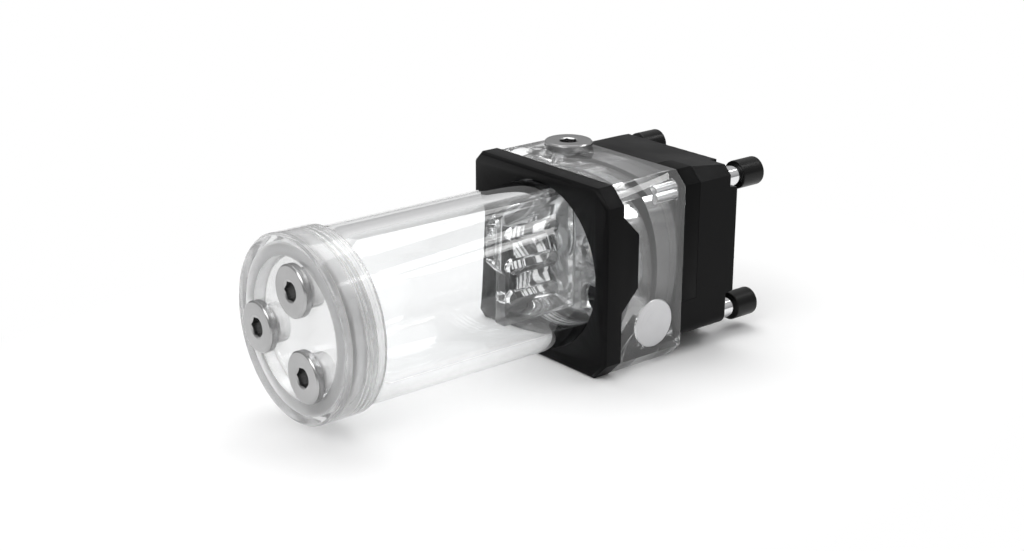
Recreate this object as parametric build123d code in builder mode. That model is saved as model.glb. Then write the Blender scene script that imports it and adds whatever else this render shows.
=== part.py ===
"""Coolant pump reservoir: clear tube with a threaded cap, holder frame, clear pump top and pump with thumb screws."""
import math
import os

from build123d import *

os.makedirs("parts", exist_ok=True)

# Tube, whose radius sets the size of everything around it
tube_r = 30.0
tube_wall = 5.0
neck_step = 1.5
thread_gap = 0.05
tube_play = 0.3
screw_in_depth = 5.3
tube_seal_r = 0.7
tube_bore_r = tube_r - tube_wall
neck_r = tube_r - neck_step

# Clear pump top
top_margin = 4.2
top_depth = 30.1
top_corner = 5.0
half = tube_r + top_margin
top_size = 2 * half
axis_z = half

# Holder frame
frame_overhang = 1.4
frame_thickness = 7.7
frame_near_corner = 6.0
frame_far_corner = 3.8
frame_bevel = 1.0
frame_lip = 2.0
tab_reach = 7.3
tab_slope = 7.4
tab_from_top = 10.0
tab_from_bottom = 24.2
bracket_hole_r = 1.65
bracket_hole_depth = 8.0
bracket_inset = 15.6
frame_half = half + frame_overhang
tab_high = half - tab_from_top
tab_low = tab_from_bottom - half
bracket_spacing = 2 * (frame_half - bracket_inset)

# Port plugs with a quarter inch pipe thread
port_r = 6.6
plug_head_r = 8.75
plug_head_height = 2.8
plug_shank_r = 6.55
plug_shank = 5.8
plug_bevel = 0.5
plug_tip = 0.6
plug_hex = 6.0
plug_hex_depth = 5.0
plug_seal_r = 0.75
seal_clearance = 0.02

# End cap
cap_overhang = 1.5
cap_length = 15.4
cap_face = 3.5
cap_bevel = 0.7
cap_distance = 102.4
cap_seal_r = 1.2
cap_spigot_gap = 1.1
cap_port_wall = 1.3
cap_port_angles = (109.4, -10.6, -130.6)
cap_r = tube_r + cap_overhang
cap_spigot_r = tube_bore_r - cap_spigot_gap
cap_port_circle = cap_spigot_r - port_r - cap_port_wall

# Flow plate inside the tube
plate_thickness = 5.0
plate_top_gap = 2.0
plate_bottom_gap = 5.7
plate_reach = 22.6
plate_nose = 5.8
plate_nose_low = 4.7
plate_step = 4.4
plate_slot_length = 22.0
plate_slot_width = 5.0
plate_slot_pitch = 11.5
plate_slot_middle = -5.0
plate_seat = 2.0
plate_top = tube_bore_r - plate_top_gap
plate_bottom = plate_bottom_gap - tube_bore_r

# Passages inside the pump top
suction_wall = 3.4
volute_depth = 8.0
collar_length = 10.3
suction_bore_r = 6.7
suction_upper = (13.4, 4.5)
suction_lower = (13.5, -13.0)
collar_cover = 5.2
collar_gap = 0.1
volute_step = 6.0
suction_step = 2.0
seat_gap = 0.05
channel_r = 2.6
channel_before_collar = 3.2
channel_up = 14.0
collar_r = half - collar_cover
volute_r = collar_r - volute_step
suction_r = volute_r - suction_step

# Ports of the pump top
top_port_depth = 6.2
top_port_from_side = 18.2
top_port_behind_channel = 3.7
side_port_up = 16.0
side_port_before_collar = 6.5
side_port_depth = 7.0
top_port_side = half - top_port_from_side

# Round disc on the near side
badge_r = 8.75
badge_thickness = 1.5
badge_from_front = 16.8
badge_from_bottom = 16.2
badge_bevel = 0.25
badge_down = badge_from_bottom - half

# Volute plate
volute_floor = 2.5
eye_r = 6.5
eye_bevel = 0.8
spiral_rim = 2.4
spiral_growth = 5.2
tongue_angle = 60.0
window_from = 28.0
window_to = 57.0
spiral_end_r = volute_r - spiral_rim
spiral_start_r = spiral_end_r - spiral_growth

# Impeller and rotor
tip_gap = 0.9
impeller_disc = 1.2
impeller_gap = 0.3
blade_count = 7
blade_height = 3.4
blade_thickness = 1.1
blade_inner_r = 6.0
blade_sweep = 48.0
hub_r = 3.6
rotor_gap = 0.5
rotor_wall = 1.0
rotor_end_gap = 0.9
shaft_r = 1.5
shaft_tip = 0.4
shaft_seat = 1.2
bush_r = 2.6
running_gap = 0.05
impeller_r = spiral_start_r - tip_gap

# Pump flange with the rotor cup
flange_thickness = 5.0
flange_edge = 3.2
collar_wall = 3.5
collar_web = 2.5
collar_land = 6.1
seal_groove_width = 1.8
seal_groove_depth = 1.5
pump_seal_r = 0.72
land_step = 0.6
stator_room = 16.5
cup_wall = 1.0
cup_floor_thickness = 1.6
cup_before_board = 1.7
ear_width = 14.7
ear_thickness = 7.2
ear_strip = 4.2
flange_r = half - flange_edge
collar_inner_r = collar_r - collar_wall
cup_r = collar_r - stator_room
rotor_r = cup_r - rotor_gap
ear_inner = half - ear_width
ear_edge = half - ear_strip

# Stator and circuit board
stator_behind_web = 1.0
stator_length = 9.0
stator_gap = 0.1
stator_rim_gap = 0.5
stator_yoke = 4.0
tooth_count = 6
tooth_width = 5.0
tooth_root = 1.0
coil_width = 11.0
coil_overhang = 1.6
coil_inner_step = 2.0
coil_outer_step = 1.0
coil_ring = 1.0
coil_edge = 0.9
board_gap = 0.1
board_thickness = 1.6
capacitor_r = 4.0
capacitor_height = 6.0
capacitor_side = -12.0
capacitor_pitch = 11.0
capacitor_up = 2.5
chip_length = 10.0
chip_width = 7.0
chip_height = 1.8
chip_side = 3.0
chip_up = 10.0
driver_size = 6.0
driver_side = 1.0
driver_up = -12.0
header_width = 5.0
header_length = 10.0
header_height = 5.0
header_side = 12.0

# Pump housing
housing_depth = 22.4
housing_corner = 21.0
near_corner_drop = 8.5
near_corner_reach = 20.4
near_corner_r = 4.0
housing_top_fall = 2.1
housing_rise = 3.6
housing_wall = 2.7
board_room = 7.5
cavity_step = 4.5
cavity_ledge = 2.5
band_from_top = 10.0
band_from_bottom = 19.6
band_slope = 0.6
pad_width = 10.7
fin_count = 9
fin_pitch = 5.0
fin_groove = 2.4
fin_depth = 2.6
cable_behind_board = 3.5
cable_down = -8.0
cable_hole_r = 4.0
cable_bore_r = 2.6
cable_lip_r = 5.4
cable_lip = 1.1
cable_lip_bevel = 0.4
cable_sleeve = 8.0
cavity_r = flange_r - cavity_step
cavity_step_r = cavity_r - cavity_ledge
board_r = cavity_r - board_gap
band_top = half - band_from_top
band_bottom = band_from_bottom - half

# Thumb screws
screw_inset = 9.0
screw_hole_r = 2.2
stud_r = 1.95
stud_hole_r = 2.0
stud_hole_depth = 10.0
stud_reach = 9.4
stud_tip = 0.4
washer_r = 4.6
washer_thickness = 0.7
spot_r = 5.4
thumb_shaft_r = 3.75
thumb_core_r = 3.0
shaft_length = 10.6
grip_r = 5.2
grip_length = 10.4
grip_wall_end = 0.6
grip_bevel = 0.6
grip_front_bevel = 0.3
screw_offset = half - screw_inset

# Stations along the tube axis, counted from the front face of the frame
cap_front = -cap_distance
cap_back = cap_front + cap_length
groove_floor = cap_front + cap_face
top_front = frame_thickness
top_back = top_front + top_depth
recess_floor = top_front + screw_in_depth
suction_front = recess_floor + suction_wall
volute_back = top_back - collar_length
volute_front = volute_back - volute_depth
channel_back = volute_back - channel_before_collar
top_port_back = channel_back + top_port_behind_channel
side_port_back = volute_back - side_port_before_collar
badge_back = top_front + badge_from_front
flange_back = top_back + flange_thickness
pad_back = top_back + housing_depth
housing_back = pad_back + housing_rise
cavity_back = pad_back - housing_wall
cavity_step_back = cavity_back - board_room
board_front = cavity_step_back - board_thickness
cup_back = board_front - cup_before_board
cup_floor = cup_back - cup_floor_thickness
stator_front = volute_back + collar_web + stator_behind_web
cable_back = cavity_step_back + cable_behind_board
washer_back = pad_back + washer_thickness
grip_front = washer_back + shaft_length
grip_back = grip_front + grip_length
frame_x = (cap_distance + plug_head_height - grip_back) / 2

side_plane = Plane(origin=(frame_x, 0, axis_z), x_dir=(1, 0, 0), z_dir=(0, -1, 0))
tube_axis = Axis(origin=(frame_x, 0, axis_z), direction=(1, 0, 0))


def station(back):
    """Plane across the tube axis; its x runs to the hidden side and its y runs up."""
    return Plane(origin=(frame_x + back, 0, axis_z), x_dir=(0, 1, 0), z_dir=(1, 0, 0))


def side_station(y):
    """Plane along the tube axis at a distance y from it; its x runs back and its y runs up."""
    return Plane(origin=(frame_x, y, axis_z), x_dir=(1, 0, 0), z_dir=(0, -1, 0))


def polar(radius, degrees):
    """Point on a circle round the tube axis."""
    return (radius * math.cos(math.radians(degrees)), radius * math.sin(math.radians(degrees)))


cap_ports = [polar(cap_port_circle, angle) for angle in cap_port_angles]
screw_places = [(-screw_offset, screw_offset), (screw_offset, screw_offset)]
screw_places += [(screw_offset, -screw_offset), (-screw_offset, -screw_offset)]

# End cap with its groove for the tube and three ports
with BuildPart() as end_cap:
    with BuildSketch(side_plane):
        with BuildLine():
            Polyline(
                (cap_front, 0),
                (cap_front, cap_r - cap_bevel),
                (cap_front + cap_bevel, cap_r),
                (cap_back - cap_bevel / 2, cap_r),
                (cap_back, cap_r - cap_bevel / 2),
                (cap_back, neck_r + thread_gap),
                (groove_floor, neck_r + thread_gap),
                (groove_floor, cap_spigot_r),
                (cap_back - cap_bevel, cap_spigot_r),
                (cap_back, cap_spigot_r - cap_bevel),
                (cap_back, 0),
                close=True,
            )
        make_face()
    revolve(axis=tube_axis)
    with BuildSketch(station(cap_front)):
        with Locations(*cap_ports):
            Circle(port_r)
    extrude(amount=cap_length, mode=Mode.SUBTRACT)
end_cap.part.label = "end_cap"
export_step(end_cap.part, "parts/end_cap.step")

# Seal ring between the end cap and the bevelled end of the tube
cap_seal_centre = cap_spigot_r + collar_gap + cap_seal_r
cap_seal_back = groove_floor + cap_seal_r
with BuildPart() as cap_seal:
    with BuildSketch(side_plane):
        with Locations((cap_seal_back, cap_seal_centre)):
            Circle(cap_seal_r)
    revolve(axis=tube_axis)
cap_seal.part.label = "cap_seal"
export_step(cap_seal.part, "parts/cap_seal.step")

# Tube with a threaded neck at both ends; the bevel at the cap end leaves room for the seal ring
tube_front = groove_floor + collar_gap
bevel_sum = cap_seal_back + cap_seal_centre + (cap_seal_r + thread_gap) * math.sqrt(2)
bevel_r = bevel_sum - tube_front
bevel_back = bevel_sum - tube_bore_r
shoulder_back = frame_thickness - frame_lip
with BuildPart() as reservoir_tube:
    with BuildSketch(side_plane):
        with BuildLine():
            Polyline(
                (tube_front, bevel_r),
                (tube_front, neck_r),
                (cap_back + thread_gap, neck_r),
                (cap_back + thread_gap, tube_r),
                (shoulder_back, tube_r),
                (shoulder_back, neck_r),
                (recess_floor, neck_r),
                (recess_floor, tube_bore_r),
                (bevel_back, tube_bore_r),
                close=True,
            )
        make_face()
    revolve(axis=tube_axis)
reservoir_tube.part.label = "reservoir_tube"
export_step(reservoir_tube.part, "parts/reservoir_tube.step")

# Seal ring under the rear end of the tube, in a groove of the pump top
tube_seal_centre = (tube_bore_r + neck_r) / 2
tube_groove_half = tube_seal_r + seal_clearance
with BuildPart() as tube_seal:
    with BuildSketch(side_plane):
        with Locations((recess_floor + tube_groove_half, tube_seal_centre)):
            Circle(tube_seal_r)
    revolve(axis=tube_axis)
tube_seal.part.label = "tube_seal"
export_step(tube_seal.part, "parts/tube_seal.step")

# Holder frame: square ring with a thin lip behind the tube's shoulder, and a tab along one side
with BuildPart() as holder_frame:
    with BuildSketch(station(0)):
        with BuildLine():
            Polyline(
                (-frame_half, half - frame_near_corner),
                (-frame_half + frame_near_corner, half),
                (frame_half - frame_far_corner, half),
                (frame_half, half - frame_far_corner),
                (frame_half, -half + frame_far_corner),
                (frame_half - frame_far_corner, -half),
                (-frame_half + frame_near_corner, -half),
                (-frame_half, -half + frame_near_corner),
                close=True,
            )
        make_face()
    extrude(amount=frame_thickness)
    chamfer(faces().sort_by(Axis.X)[0].edges(), length=frame_bevel)
    with BuildSketch(side_station(-frame_half)):
        with BuildLine():
            Polyline(
                (frame_thickness - frame_lip, tab_high),
                (frame_thickness, tab_high),
                (frame_thickness + tab_reach, tab_high - tab_slope),
                (frame_thickness + tab_reach, tab_low + tab_slope),
                (frame_thickness, tab_low),
                (frame_thickness - frame_lip, tab_low),
                close=True,
            )
        make_face()
    extrude(amount=-(frame_half - half))
    with BuildSketch(station(0)):
        Circle(tube_r + tube_play)
    extrude(amount=frame_thickness - frame_lip, mode=Mode.SUBTRACT)
    with BuildSketch(station(0)):
        Circle(neck_r + tube_play)
    extrude(amount=frame_thickness, mode=Mode.SUBTRACT)
    with BuildSketch(Plane(origin=(frame_x + frame_thickness / 2, 0, 0), z_dir=(0, 0, 1))):
        with GridLocations(0, bracket_spacing, 1, 2):
            Circle(bracket_hole_r)
    extrude(amount=bracket_hole_depth, mode=Mode.SUBTRACT)
holder_frame.part.label = "holder_frame"
export_step(holder_frame.part, "parts/holder_frame.step")

# Flow plate standing on edge inside the tube, with three milled slots
plate_middle = (plate_top + plate_bottom) / 2
plate_nose_high = plate_top - plate_nose
slot_heights = [plate_middle + shift * plate_slot_pitch for shift in (-1, 0, 1)]
with BuildPart() as flow_plate:
    with BuildSketch(side_plane):
        with BuildLine():
            Polyline(
                (recess_floor + plate_seat, plate_bottom),
                (recess_floor + plate_seat, plate_top),
                (-plate_reach + plate_top - plate_nose_high, plate_top),
                (-plate_reach, plate_nose_high),
                (-plate_reach, plate_nose_low),
                (-plate_reach + plate_step, plate_nose_low - plate_step),
                (-plate_reach + plate_step, plate_bottom),
                close=True,
            )
        make_face()
        with Locations(*[(plate_slot_middle, height) for height in slot_heights]):
            SlotOverall(plate_slot_length, plate_slot_width, mode=Mode.SUBTRACT)
    extrude(amount=plate_thickness / 2, both=True)
flow_plate.part.label = "flow_plate"
export_step(flow_plate.part, "parts/flow_plate.step")

# Clear pump top with the tube recess, the suction bores, the volute seat, the collar bore and the ports
suction_bores = [(-suction_upper[0], suction_upper[1]), suction_upper]
suction_bores += [(-suction_lower[0], suction_lower[1]), suction_lower]
with BuildPart() as pump_top:
    with BuildSketch(station(top_front)):
        Rectangle(top_size, top_size)
        chamfer(vertices(), length=top_corner)
    extrude(amount=top_depth)
    with BuildSketch(station(top_front)):
        Circle(neck_r + thread_gap)
    extrude(amount=screw_in_depth, mode=Mode.SUBTRACT)
    with BuildSketch(side_plane):
        with Locations((recess_floor + tube_groove_half, tube_seal_centre)):
            Rectangle(2 * tube_groove_half, 2 * tube_groove_half)
    revolve(axis=tube_axis, mode=Mode.SUBTRACT)
    with BuildSketch(station(recess_floor)):
        with Locations((0, plate_middle)):
            Rectangle(plate_thickness + 2 * seat_gap, plate_top - plate_bottom + 2 * seat_gap)
    extrude(amount=plate_seat, mode=Mode.SUBTRACT)
    with BuildSketch(station(recess_floor)):
        with Locations(*suction_bores):
            Circle(suction_bore_r)
    extrude(amount=suction_wall, mode=Mode.SUBTRACT)
    with BuildSketch(station(suction_front)):
        Circle(suction_r)
    extrude(amount=volute_front - suction_front, mode=Mode.SUBTRACT)
    with BuildSketch(station(volute_front)):
        Circle(volute_r + seat_gap)
    extrude(amount=volute_back - volute_front, mode=Mode.SUBTRACT)
    with BuildSketch(station(volute_back)):
        Circle(collar_r + collar_gap)
    extrude(amount=top_back - volute_back, mode=Mode.SUBTRACT)
    with BuildSketch(station(top_back)):
        with Locations(*screw_places):
            Circle(stud_hole_r)
    extrude(amount=-stud_hole_depth, mode=Mode.SUBTRACT)
    with BuildSketch(Plane(origin=(frame_x + top_port_back, top_port_side, top_size), z_dir=(0, 0, 1))):
        Circle(port_r)
    extrude(amount=-top_port_depth, mode=Mode.SUBTRACT)
    with BuildSketch(Plane(origin=(frame_x + channel_back, top_port_side, top_size), z_dir=(0, 0, 1))):
        Circle(channel_r)
    extrude(amount=-(half - channel_up), mode=Mode.SUBTRACT)
    with BuildSketch(side_station(half)):
        with Locations((side_port_back, side_port_up)):
            Circle(port_r)
    extrude(amount=side_port_depth, mode=Mode.SUBTRACT)
    with BuildSketch(side_station(half)):
        with Locations((channel_back, channel_up)):
            Circle(channel_r)
    extrude(amount=half - top_port_side, mode=Mode.SUBTRACT)
    with BuildSketch(side_station(-half)):
        with Locations((badge_back, badge_down)):
            Circle(badge_r + thread_gap)
    extrude(amount=-badge_thickness, mode=Mode.SUBTRACT)
pump_top.part.label = "pump_top"
export_step(pump_top.part, "parts/pump_top.step")

# Plain disc let into the near side of the pump top
with BuildPart() as badge_disc:
    with BuildSketch(side_station(-half)):
        with Locations((badge_back, badge_down)):
            Circle(badge_r)
    extrude(amount=-badge_thickness)
    chamfer(edges().group_by(Axis.Y)[0], length=badge_bevel)
badge_disc.part.label = "badge_disc"
export_step(badge_disc.part, "parts/badge_disc.step")

# Volute plate: the spiral grows round the impeller and leaves through a window in the rim
spiral_points = []
spiral_steps = 24
for step in range(spiral_steps + 1):
    share = step / spiral_steps
    spiral_r = spiral_start_r + (spiral_end_r - spiral_start_r) * share
    spiral_points.append(polar(spiral_r, tongue_angle + 360 * share))
window_points = [polar(spiral_start_r, window_from), polar(volute_r + 2, window_from)]
window_points += [polar(volute_r + 3, (window_from + window_to) / 2), polar(volute_r + 2, window_to)]
window_points += [polar(spiral_start_r, window_to)]
with BuildPart() as volute_plate:
    with BuildSketch(station(volute_front)):
        Circle(volute_r)
    extrude(amount=volute_back - volute_front)
    with BuildSketch(station(volute_front + volute_floor)):
        with BuildLine():
            Spline(*spiral_points)
            Line(spiral_points[-1], spiral_points[0])
        make_face()
    extrude(amount=volute_back - volute_front - volute_floor, mode=Mode.SUBTRACT)
    with BuildSketch(station(volute_front + volute_floor)):
        with BuildLine():
            Polyline(*window_points, close=True)
        make_face()
    extrude(amount=volute_back - volute_front - volute_floor, mode=Mode.SUBTRACT)
    with BuildSketch(station(volute_front)):
        Circle(eye_r)
    extrude(amount=volute_floor, mode=Mode.SUBTRACT)
    eye_edge = edges().filter_by(GeomType.CIRCLE).group_by(Axis.X)[0].sort_by(SortBy.RADIUS)[0]
    chamfer(eye_edge, length=eye_bevel)
volute_plate.part.label = "volute_plate"
export_step(volute_plate.part, "parts/volute_plate.step")

# Impeller: disc with backward curved blades, hub, and a cup behind for the magnet
disc_back = volute_back - impeller_gap
disc_front = disc_back - impeller_disc
blade_front = disc_front - blade_height
rotor_back = cup_floor - rotor_end_gap
blade_inner = polar(blade_inner_r, 0)
blade_middle = polar((blade_inner_r + impeller_r) / 2, blade_sweep * 0.36)
blade_outer = polar(impeller_r - blade_thickness / 2, blade_sweep)
with BuildPart() as impeller:
    with BuildSketch(station(disc_front)):
        Circle(impeller_r)
    extrude(amount=impeller_disc)
    with BuildSketch(station(blade_front)):
        with PolarLocations(0, blade_count):
            with BuildLine():
                blade_line = ThreePointArc(blade_inner, blade_middle, blade_outer)
            trace(blade_line, line_width=blade_thickness)
    extrude(amount=blade_height)
    with BuildSketch(station(blade_front)):
        Circle(hub_r)
    extrude(amount=blade_height)
    with BuildSketch(station(disc_back)):
        Circle(rotor_r)
    extrude(amount=rotor_back - disc_back)
    with BuildSketch(station(disc_back)):
        Circle(rotor_r - rotor_wall)
        Circle(hub_r, mode=Mode.SUBTRACT)
    extrude(amount=rotor_back - disc_back, mode=Mode.SUBTRACT)
    with BuildSketch(station(blade_front)):
        Circle(bush_r)
    extrude(amount=rotor_back - blade_front, mode=Mode.SUBTRACT)
impeller.part.label = "impeller"
export_step(impeller.part, "parts/impeller.step")

# Ring magnet held in the cup of the impeller
with BuildPart() as rotor_magnet:
    with BuildSketch(station(disc_back)):
        Circle(rotor_r - rotor_wall)
        Circle(hub_r, mode=Mode.SUBTRACT)
    extrude(amount=rotor_back - disc_back)
rotor_magnet.part.label = "rotor_magnet"
export_step(rotor_magnet.part, "parts/rotor_magnet.step")

# Bearing bush pressed into the hub
with BuildPart() as bearing_bush:
    with BuildSketch(station(blade_front)):
        Circle(bush_r)
        Circle(shaft_r + running_gap, mode=Mode.SUBTRACT)
    extrude(amount=rotor_back - blade_front)
bearing_bush.part.label = "bearing_bush"
export_step(bearing_bush.part, "parts/bearing_bush.step")

# Fixed shaft in the floor of the rotor cup
with BuildPart() as bearing_shaft:
    with BuildSketch(station(blade_front - shaft_tip)):
        Circle(shaft_r)
    extrude(amount=cup_floor + shaft_seat - blade_front + shaft_tip)
    chamfer(edges().group_by(Axis.X)[0], length=shaft_tip)
bearing_shaft.part.label = "bearing_shaft"
export_step(bearing_shaft.part, "parts/bearing_shaft.step")

# Pump flange: collar in the pump top, seal groove, rotor cup, ear at the near upper corner with a strip below
groove_front = volute_back + collar_land
groove_back = groove_front + seal_groove_width
strip_low = housing_corner - half
ear_points = [(-half, strip_low), (-half, half - top_corner), (-half + top_corner, half), (-ear_inner, half)]
with BuildPart() as pump_flange:
    with BuildSketch(side_plane):
        with BuildLine():
            Polyline(
                (volute_back, cup_r),
                (volute_back, collar_r),
                (groove_front, collar_r),
                (groove_front, collar_r - seal_groove_depth),
                (groove_back, collar_r - seal_groove_depth),
                (groove_back, collar_r - land_step),
                (top_back, collar_r - land_step),
                (top_back, flange_r),
                (flange_back, flange_r),
                (flange_back, collar_inner_r),
                (volute_back + collar_web, collar_inner_r),
                (volute_back + collar_web, cup_r + cup_wall),
                (cup_back, cup_r + cup_wall),
                (cup_back, 0),
                (cup_floor, 0),
                (cup_floor, cup_r),
                close=True,
            )
        make_face()
    revolve(axis=tube_axis)
    with BuildSketch(station(top_back)):
        with BuildLine():
            ear_inside = [(-ear_inner, ear_inner), (-ear_edge, ear_inner), (-ear_edge, strip_low)]
            Polyline(*ear_points, *ear_inside, close=True)
        make_face()
        with Locations((-screw_offset, screw_offset)):
            Circle(screw_hole_r, mode=Mode.SUBTRACT)
    extrude(amount=ear_thickness)
    with BuildSketch(station(cup_floor)):
        Circle(shaft_r)
    extrude(amount=shaft_seat, mode=Mode.SUBTRACT)
pump_flange.part.label = "pump_flange"
export_step(pump_flange.part, "parts/pump_flange.step")

# Seal ring round the collar
with BuildPart() as pump_seal:
    with BuildSketch(side_plane):
        seal_middle = collar_r + collar_gap - seal_clearance - pump_seal_r
        with Locations(((groove_front + groove_back) / 2, seal_middle)):
            Circle(pump_seal_r)
    revolve(axis=tube_axis)
pump_seal.part.label = "pump_seal"
export_step(pump_seal.part, "parts/pump_seal.step")

# Stator core with its teeth
stator_outer_r = collar_inner_r - stator_rim_gap
stator_inner_r = cup_r + cup_wall + stator_gap
yoke_r = stator_outer_r - stator_yoke
with BuildPart() as stator_core:
    with BuildSketch(station(stator_front + coil_overhang)):
        Circle(stator_outer_r)
        Circle(yoke_r, mode=Mode.SUBTRACT)
        with PolarLocations((stator_inner_r + yoke_r + tooth_root) / 2, tooth_count):
            Rectangle(yoke_r + tooth_root - stator_inner_r, tooth_width)
        Circle(stator_inner_r, mode=Mode.SUBTRACT)
    extrude(amount=stator_length)
stator_core.part.label = "stator_core"
export_step(stator_core.part, "parts/stator_core.step")

# Stator coils round the teeth, joined by the ring that carries them
coil_inner_r = stator_inner_r + coil_inner_step
coil_outer_r = yoke_r - coil_outer_step
coil_length = stator_length + 2 * coil_overhang
with BuildPart() as stator_coils:
    with BuildSketch(station(stator_front)):
        with PolarLocations((coil_inner_r + coil_outer_r) / 2, tooth_count):
            Rectangle(coil_outer_r - coil_inner_r, coil_width)
    extrude(amount=coil_length)
    fillet(edges().filter_by(Axis.X), radius=coil_edge)
    with BuildSketch(station(stator_front + coil_overhang)):
        with PolarLocations((coil_inner_r + coil_outer_r) / 2, tooth_count):
            Rectangle(coil_outer_r - coil_inner_r + 2 * coil_outer_step, tooth_width)
    extrude(amount=stator_length, mode=Mode.SUBTRACT)
    with BuildSketch(station(stator_front + coil_length - coil_ring)):
        Circle(coil_outer_r)
        Circle(coil_inner_r, mode=Mode.SUBTRACT)
    extrude(amount=coil_ring)
stator_coils.part.label = "stator_coils"
export_step(stator_coils.part, "parts/stator_coils.step")

# Circuit board with its capacitors, driver chip and cable header on the rear side
with BuildPart() as circuit_board:
    with BuildSketch(station(board_front)):
        Circle(board_r)
    extrude(amount=board_thickness)
    with BuildSketch(station(cavity_step_back)):
        with Locations((capacitor_side, capacitor_up)):
            with GridLocations(0, capacitor_pitch, 1, 2):
                Circle(capacitor_r)
    extrude(amount=capacitor_height)
    with BuildSketch(station(cavity_step_back)):
        with Locations((chip_side, chip_up)):
            Rectangle(chip_length, chip_width)
        with Locations((driver_side, driver_up)):
            Rectangle(driver_size, driver_size)
    extrude(amount=chip_height)
    with BuildSketch(station(cavity_step_back)):
        with Locations((header_side, cable_down)):
            Rectangle(header_width, header_length)
    extrude(amount=header_height)
circuit_board.part.label = "circuit_board"
export_step(circuit_board.part, "parts/circuit_board.step")

# Pump housing: square block with two round corners and a sloping one, cooling fins between four screw pads
inner = half - housing_corner
bulge = housing_corner * math.sqrt(0.5)
band_high = band_top + band_slope
band_low = band_bottom - band_slope
with BuildPart() as pump_housing:
    with BuildSketch(station(top_back)):
        with BuildLine():
            Polyline((-half, -inner), (-half, half - top_corner), (-half + top_corner, half), (inner, half))
            ThreePointArc((inner, half), (inner + bulge, inner + bulge), (half, inner))
            Line((half, inner), (half, -inner))
            ThreePointArc((half, -inner), (inner + bulge, -inner - bulge), (inner, -half))
            low_corner = [(near_corner_reach - half, -half), (-half, near_corner_drop - half)]
            Polyline((inner, -half), *low_corner, (-half, -inner))
        make_face()
        fillet(vertices().group_by(Axis.X)[0].sort_by(Axis.Y)[:1], radius=near_corner_r)
    extrude(amount=housing_back - top_back)
    with BuildSketch(side_plane):
        with BuildLine():
            Polyline(
                (flange_back, half),
                (housing_back, half),
                (housing_back, half - housing_top_fall),
                close=True,
            )
        make_face()
    extrude(amount=half, both=True, mode=Mode.SUBTRACT)
    for side in (-1, 1):
        with BuildSketch(side_station(side * half)):
            with BuildLine():
                Polyline(
                    (pad_back, band_high),
                    (housing_back, band_top),
                    (housing_back, half),
                    (pad_back, half),
                    close=True,
                )
            make_face()
            with BuildLine():
                Polyline(
                    (pad_back, band_low),
                    (housing_back, band_bottom),
                    (housing_back, -half),
                    (pad_back, -half),
                    close=True,
                )
            make_face()
        extrude(amount=side * pad_width, mode=Mode.SUBTRACT)
    with BuildSketch(station(housing_back)):
        with GridLocations(fin_pitch, 0, fin_count, 1):
            Rectangle(fin_groove, top_size)
    extrude(amount=-fin_depth, mode=Mode.SUBTRACT)
    with BuildSketch(station(pad_back)):
        with Locations(*screw_places):
            Circle(spot_r)
    extrude(amount=housing_back - pad_back, mode=Mode.SUBTRACT)
    with BuildSketch(station(top_back)):
        with Locations(*screw_places):
            Circle(screw_hole_r)
    extrude(amount=pad_back - top_back, mode=Mode.SUBTRACT)
    with BuildSketch(station(top_back)):
        Circle(flange_r + seat_gap)
    extrude(amount=flange_thickness, mode=Mode.SUBTRACT)
    with BuildSketch(station(top_back)):
        with BuildLine():
            Polyline(
                (-half, strip_low - seat_gap),
                (-half, half),
                (-ear_inner + seat_gap, half),
                (-ear_inner + seat_gap, ear_inner - seat_gap),
                (-ear_edge + seat_gap, ear_inner - seat_gap),
                (-ear_edge + seat_gap, strip_low - seat_gap),
                close=True,
            )
        make_face()
    extrude(amount=ear_thickness + seat_gap, mode=Mode.SUBTRACT)
    with BuildSketch(station(flange_back)):
        Circle(cavity_r)
    extrude(amount=cavity_step_back - flange_back, mode=Mode.SUBTRACT)
    with BuildSketch(station(cavity_step_back)):
        Circle(cavity_step_r)
    extrude(amount=cavity_back - cavity_step_back, mode=Mode.SUBTRACT)
    with BuildSketch(side_station(half)):
        with Locations((cable_back, cable_down)):
            Circle(cable_hole_r)
    extrude(amount=half - cavity_step_r + cable_hole_r, mode=Mode.SUBTRACT)
pump_housing.part.label = "pump_housing"
export_step(pump_housing.part, "parts/pump_housing.step")

# Rubber sleeve in the cable hole on the hidden side
with BuildPart() as cable_grommet:
    with BuildSketch(side_station(half + cable_lip)):
        with Locations((cable_back, cable_down)):
            Circle(cable_lip_r)
    extrude(amount=cable_lip)
    chamfer(edges().group_by(Axis.Y)[-1], length=cable_lip_bevel)
    with BuildSketch(side_station(half)):
        with Locations((cable_back, cable_down)):
            Circle(cable_hole_r)
    extrude(amount=cable_sleeve)
    with BuildSketch(side_station(half + cable_lip)):
        with Locations((cable_back, cable_down)):
            Circle(cable_bore_r)
    extrude(amount=cable_sleeve + cable_lip, mode=Mode.SUBTRACT)
cable_grommet.part.label = "cable_grommet"
export_step(cable_grommet.part, "parts/cable_grommet.step")

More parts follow.
